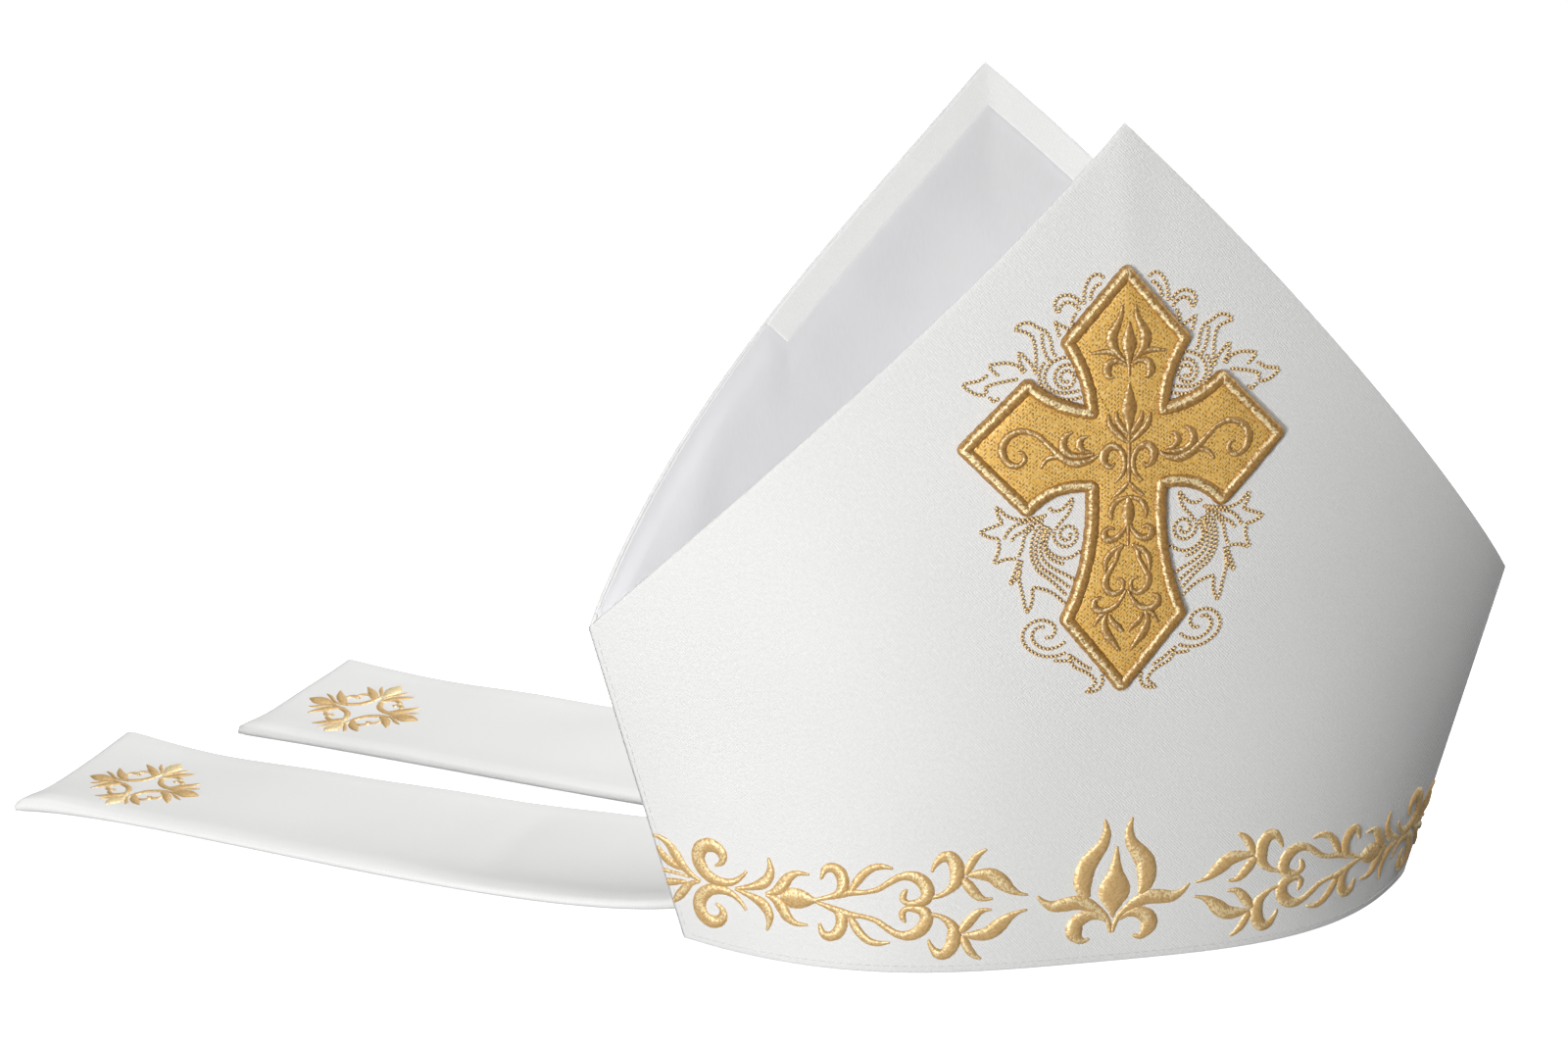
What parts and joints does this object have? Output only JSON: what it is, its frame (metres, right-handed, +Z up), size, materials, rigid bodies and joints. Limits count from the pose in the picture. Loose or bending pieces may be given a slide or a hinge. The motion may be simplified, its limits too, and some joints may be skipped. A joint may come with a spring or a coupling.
{
  "type": "bishop mitre",
  "caption": "White bishop mitre standing open on its rim, with two lappets, a padded gold cross and a gold scroll border.",
  "frame": {"origin": "centre of the box round the whole object, at the height of the rim it rests on", "axes": "-Y is the front of the mitre with the cross, +Z is up to the horn tips, and +X runs from the side the lappets are laid out to towards the other side seam"},
  "size_m": [0.5158, 0.393, 0.2853],
  "materials": {
    "white_cloth": "fine matt twill",
    "lining_satin": "soft satin",
    "gold_field": "gold thread fill stitch",
    "gold_roll": "shiny gold satin stitch"
  },
  "bodies": {
    "root": {"front_panel": "white_cloth", "back_panel": "white_cloth", "front_facing": "white_cloth", "back_facing": "white_cloth", "lining": "lining_satin", "lappet_left": "white_cloth", "lappet_right": "white_cloth", "cross_field": "gold_field", "cross_border": "gold_roll"}
  },
  "joints": []
}
